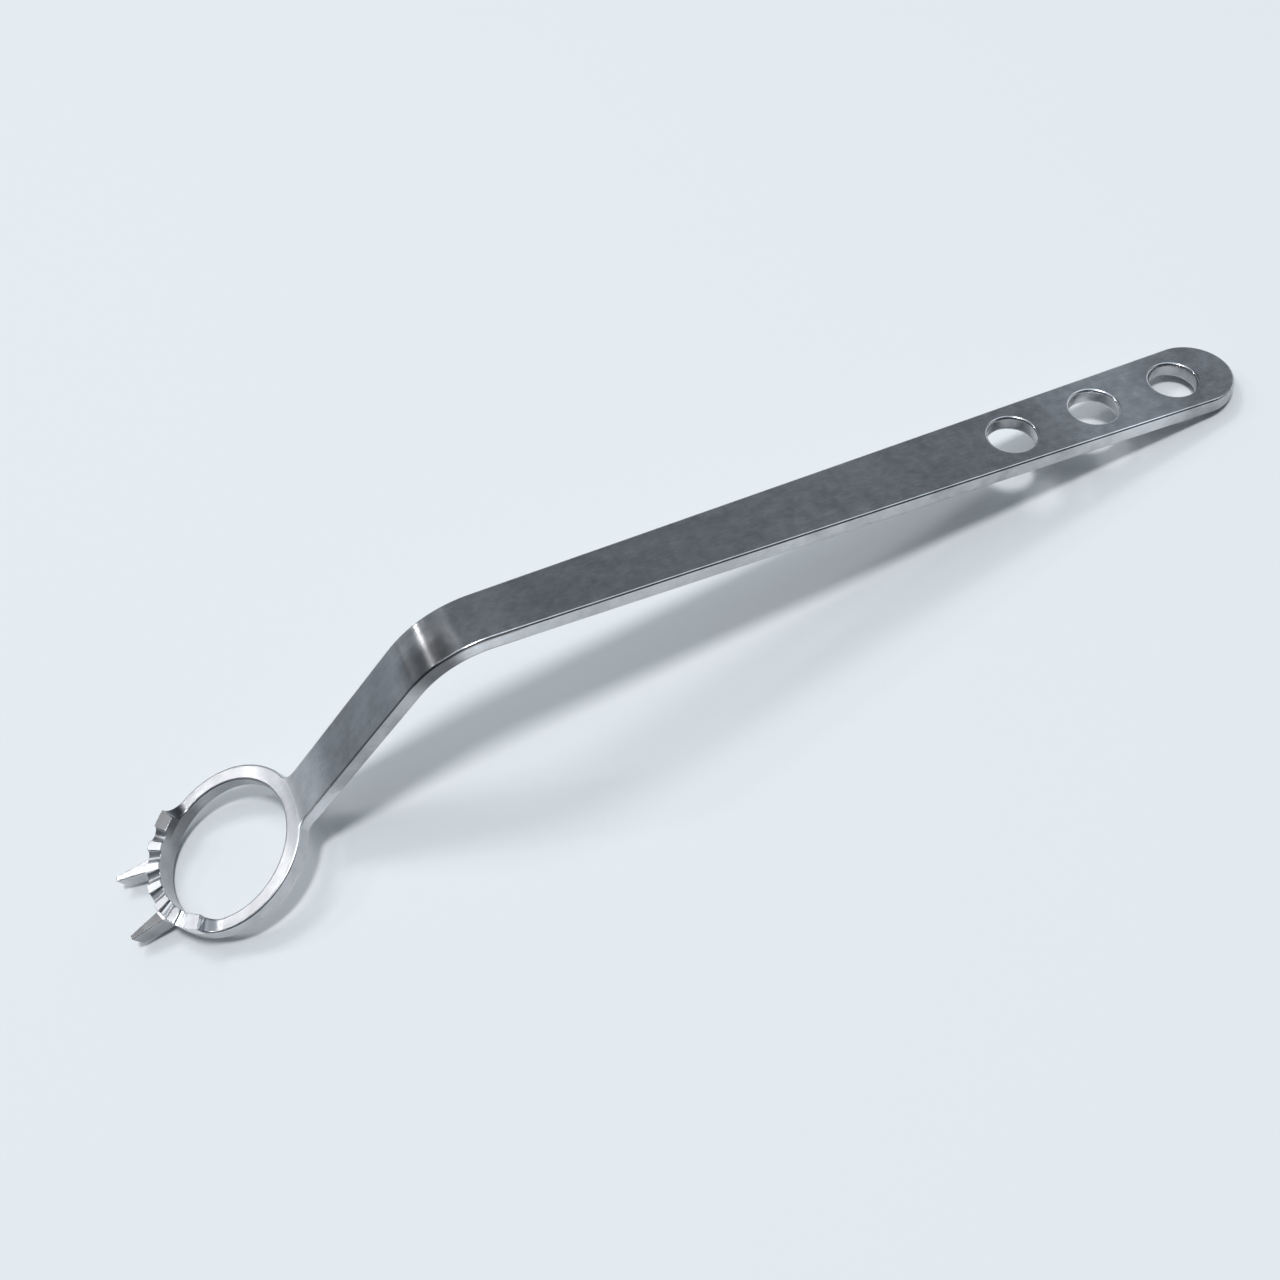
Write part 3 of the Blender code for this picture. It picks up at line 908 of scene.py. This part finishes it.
def satin_steel():
    """Satin steel, worn and clouded by handling, with painted highlight and painted shade in places, and
    a ring that is duller than the bar.
    """
    made, graph = new_material("satin steel")
    places = SteelPlaces(graph)
    drawn_out = {"Vector": places.point, "Scale": GRAIN_DRAWN_OUT}
    grain = noise(graph, graph.add("ShaderNodeMapping", {}, drawn_out), GRAIN)
    smudge = noise(graph, places.point, SMUDGES)
    patches = noise(graph, places.point, PATCHES)
    stain = noise(graph, places.point, CLOUDS).between(*STAIN_EDGE)

    tone = bar_tone(places, grain, smudge, patches, stain) * ring_painted_light(places)
    # Painted shade over the glint on the near rounded edge after the main bend
    tone = tone * (1.0 - places.shaded_near_edge * NEAR_EDGE_PAINTED_SHADE)
    colour = graph.add("ShaderNodeVectorMath", {"operation": "SCALE"}, {0: STEEL_COLOUR, "Scale": tone})
    height = steel_height(graph, places, grain, smudge)
    bump = graph.add("ShaderNodeBump", {}, {"Strength": 1.0, "Distance": BUMP_UNIT, "Height": height})
    steel = graph.add(
        "ShaderNodeBsdfPrincipled",
        {},
        {
            "Base Color": colour,
            "Metallic": 1.0,
            "Roughness": steel_roughness(places, grain, smudge, stain),
            "Normal": bump,
        },
    )
    graph.node("ShaderNodeOutputMaterial", {}, {"Surface": steel})
    return made


def pale_paper():
    """The matt, faintly blue sheet that the retractor lies on."""
    made, graph = new_material("pale paper")
    paper = graph.add(
        "ShaderNodeBsdfPrincipled",
        {},
        {"Base Color": PAPER_COLOUR, "Roughness": PAPER_ROUGHNESS, "Specular IOR Level": PAPER_SHINE},
    )
    graph.node("ShaderNodeOutputMaterial", {}, {"Surface": paper})
    return made


def make_retractor():
    material = satin_steel()
    blank = join_blank(material)
    bend_blank(blank)
    lay_down(blank)
    bmesh.ops.scale(blank, verts=blank.verts, vec=(MM, MM, MM))
    bmesh.ops.recalc_face_normals(blank, faces=blank.faces)
    retractor = new_object("retractor_steel", blank)
    retractor.data.materials.clear()
    retractor.data.materials.append(material)
    retractor.data.shade_smooth()
    retractor.data.set_sharp_from_angle(angle=radians(SMOOTH_BELOW))
    weighting = retractor.modifiers.new("flat faces stay flat", "WEIGHTED_NORMAL")
    weighting.mode = "FACE_AREA"
    weighting.keep_sharp = True
    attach(retractor, "root")
    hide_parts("retractor")


# Floor, lights and camera

FLOOR_HALF_WIDTH = 2.0

# Softboxes: name, direction, radius over distance, power, and whether the steel mirrors it.
# One is nearly overhead and a weaker one behind, and two cards light the ring and its crown.
LAMP_DISTANCE = 2.5
SOFTBOXES = (
    ("overhead_softbox", (0.02, -0.128, 1.0), 0.095, 30.0, True),
    ("back_softbox", (-0.17, 0.62, 1.0), 0.15, 11.0, False),
    ("ring_card", (-0.53, 0.56, 0.64), 0.03, 3.3, True),
    ("crown_card", (-0.36, 0.48, 0.80), 0.06, 2.6, True),
)

# The room, by the X (right), Y (back) and Z (up) of a direction
ROOM_COLOUR = (0.85, 0.96, 1.06, 1.0)
WALLS_FROM = (-0.5, 0.1)
WALL_FALL_OFF = 1.5
WALL_GLOW = 0.5
WALL_GLOW_TO_RIGHT = 0.1
LEAST_GLOW = 0.09
CEILING_FROM = (0.80, 0.94)
CEILING_GLOW = 0.85
STRIP_UP_FROM = (0.50, 0.66)
STRIP_BACK = (-0.32, -0.12, 0.30, 0.48)
STRIP_RIGHT_FROM = (-0.45, 0.1)
STRIP_GLOW = 0.1
STRIP_GLOW_TO_RIGHT = 1.7
CORNER_RIGHT_FROM = (0.62, 0.78)
CORNER_UP = (0.0, 0.05, 0.22, 0.42)
CORNER_GLOW = 0.6

# The camera's place in metres, and its own right and up
CAMERA_PLACE = (-0.034659, -0.193277, 0.266286)
CAMERA_RIGHT = Vector((0.8928752541542053, -0.3963768482208252, -0.21367982029914856))
CAMERA_UP = Vector((0.4442232549190521, 0.6976152062416077, 0.5621375441551208))
LENS_MM = 45.0
SENSOR_MM = 36.0
CLIP_START = 0.01


def make_floor():
    sheet = bmesh.new()
    bmesh.ops.create_grid(sheet, x_segments=1, y_segments=1, size=FLOOR_HALF_WIDTH)
    floor = new_object("floor", sheet)
    floor.data.materials.append(pale_paper())


def add_softbox(name, toward, spread, power, mirrored):
    """A round softbox far off in one direction. spread is its radius over its distance."""
    lamp = bpy.data.lights.new(name, "AREA")
    lamp.shape = "DISK"
    lamp.size = 2 * spread * LAMP_DISTANCE
    lamp.energy = power
    made = bpy.data.objects.new(name, lamp)
    made.location = LAMP_DISTANCE * Vector(toward).normalized()
    made.rotation_euler = Vector(toward).to_track_quat("Z", "Y").to_euler()
    made.visible_glossy = mirrored
    bpy.context.scene.collection.objects.link(made)


def light_room():
    """A bright ceiling, and walls that are dark in front. Part of the light is seen only in the steel."""
    world = bpy.data.worlds.new("studio walls")
    world.use_nodes = True
    world.node_tree.nodes.clear()
    bpy.context.scene.world = world
    graph = Graph(world.node_tree)
    toward = graph.add("ShaderNodeTexCoord")
    right = toward.part("X")
    back = toward.part("Y")
    up = toward.part("Z")
    low = (1.0 - up).at_least(0.0).at_most(1.0) ** WALL_FALL_OFF
    walls = low * (right * WALL_GLOW_TO_RIGHT + WALL_GLOW) * back.between(*WALLS_FROM) + LEAST_GLOW
    ceiling = up.between(*CEILING_FROM) * CEILING_GLOW

    # What the steel mirrors: a bright strip of ceiling over its near edges, and a bright corner low
    # on the right
    strip = up.between(*STRIP_UP_FROM) * on_stretch(back, STRIP_BACK)
    strip = strip * right.between(*STRIP_RIGHT_FROM) * (right * STRIP_GLOW_TO_RIGHT + STRIP_GLOW)
    corner = right.between(*CORNER_RIGHT_FROM) * on_stretch(up, CORNER_UP) * CORNER_GLOW
    gleam = (strip + corner).at_least(ceiling)
    mirrored = graph.add("ShaderNodeLightPath", {}, {}, "Is Glossy Ray")
    strength = walls + ceiling + (gleam - ceiling) * mirrored
    glow = graph.add("ShaderNodeBackground", {}, {"Color": ROOM_COLOUR, "Strength": strength})
    graph.node("ShaderNodeOutputWorld", {}, {"Surface": glow})


def add_camera():
    """A camera over the near side of the ring, looking down along the handle."""
    lens = bpy.data.cameras.new("camera")
    lens.lens = LENS_MM
    lens.sensor_width = SENSOR_MM
    lens.clip_start = CLIP_START
    camera = bpy.data.objects.new("camera", lens)
    back = CAMERA_RIGHT.cross(CAMERA_UP)
    turned = Matrix((CAMERA_RIGHT, CAMERA_UP, back)).transposed().to_4x4()
    camera.matrix_world = Matrix.Translation(CAMERA_PLACE) @ turned
    bpy.context.scene.collection.objects.link(camera)
    bpy.context.scene.camera = camera


make_retractor()
make_floor()
for softbox in SOFTBOXES:
    add_softbox(*softbox)
light_room()
add_camera()
bpy.context.scene.view_settings.view_transform = "Standard"
